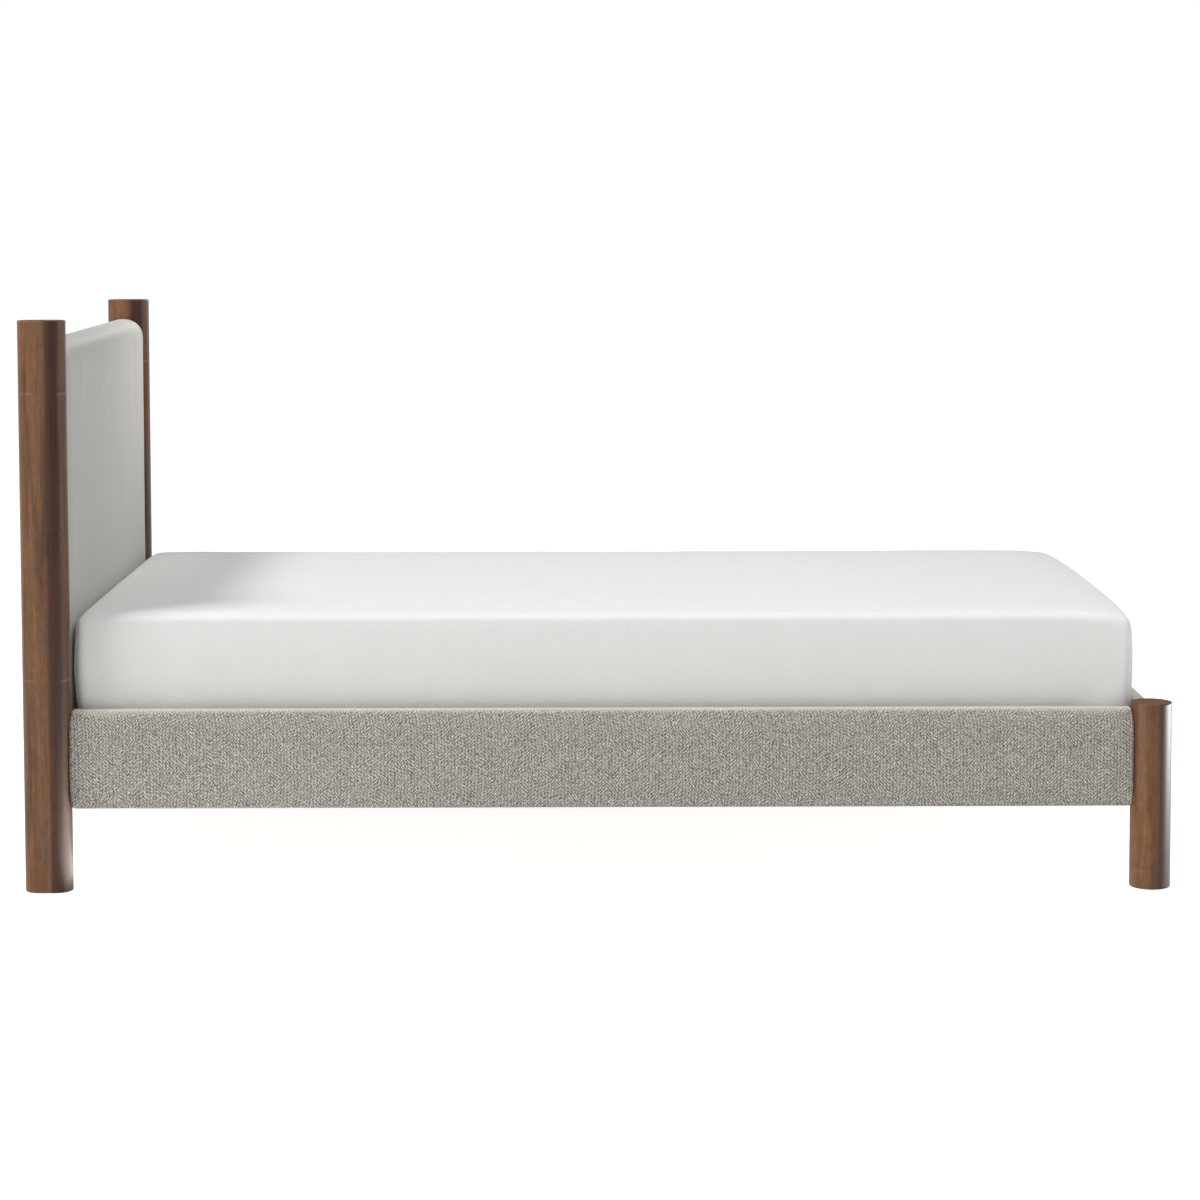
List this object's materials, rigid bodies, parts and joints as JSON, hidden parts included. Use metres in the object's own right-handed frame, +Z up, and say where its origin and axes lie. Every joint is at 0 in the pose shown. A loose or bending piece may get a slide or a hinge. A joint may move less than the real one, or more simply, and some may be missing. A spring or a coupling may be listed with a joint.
{
  "type": "upholstered platform bed",
  "caption": "Twin platform bed: racetrack head posts, round foot posts, padded rails, crowned soft headboard, slats and a plain white mattress that lifts off.",
  "frame": {"origin": "on the floor under the middle of the bed, the centre of its footprint", "axes": "+X from the head of the bed to its foot, +Y across the bed, +Z up"},
  "size_m": [2.0589, 1.095, 1.0255],
  "materials": {
    "post_wood": "satin",
    "rail_boucle": "matte",
    "headboard_fabric": "matte",
    "mattress_fabric": "matte",
    "foam": "matte",
    "plywood": "matte",
    "slat_pine": "satin",
    "frame_pine": "matte",
    "dowel_beech": "matte",
    "zinc_steel": "satin",
    "back_cloth": "matte",
    "strap_webbing": "matte",
    "glide_nylon": "matte"
  },
  "bodies": {
    "bed_frame": {"head_post_left": "post_wood", "head_post_right": "post_wood", "foot_post_left": "post_wood", "foot_post_right": "post_wood", "head_glide_left": "glide_nylon", "head_glide_right": "glide_nylon", "foot_glide_left": "glide_nylon", "foot_glide_right": "glide_nylon", "side_rail_core_left": "plywood", "side_rail_core_right": "plywood", "side_rail_cover_left": "rail_boucle", "side_rail_cover_right": "rail_boucle", "foot_rail_core": "plywood", "foot_rail_cover": "rail_boucle", "hanger_bolts": "zinc_steel", "crescent_washers": "zinc_steel", "rail_nuts": "zinc_steel", "rail_dowels": "dowel_beech", "headboard_stile_left": "frame_pine", "headboard_stile_right": "frame_pine", "headboard_top_rail": "frame_pine", "headboard_middle_rail": "frame_pine", "headboard_bottom_rail": "frame_pine", "headboard_face_board": "plywood", "headboard_foam": "foam", "headboard_cover": "headboard_fabric", "headboard_back_cloth": "back_cloth", "headboard_dowels": "dowel_beech", "headboard_screws": "zinc_steel", "slat_cleat_left": "slat_pine", "slat_cleat_right": "slat_pine", "cleat_screws": "zinc_steel", "slat_01": "slat_pine", "slat_02": "slat_pine", "slat_03": "slat_pine", "slat_04": "slat_pine", "slat_05": "slat_pine", "slat_06": "slat_pine", "slat_07": "slat_pine", "slat_08": "slat_pine", "slat_09": "slat_pine", "slat_10": "slat_pine", "slat_11": "slat_pine", "slat_12": "slat_pine", "slat_13": "slat_pine", "slat_strap_left": "strap_webbing", "slat_strap_right": "strap_webbing", "slat_screws": "zinc_steel"},
    "mattress": {"mattress_core": "foam", "mattress_comfort_layer": "foam", "mattress_cover": "mattress_fabric"}
  },
  "joints": [
    {"name": "mattress_lift", "type": "slide", "parent": "bed_frame", "child": "mattress", "axis": [0, 0, 1], "range_m": [0, 0.35]}
  ]
}
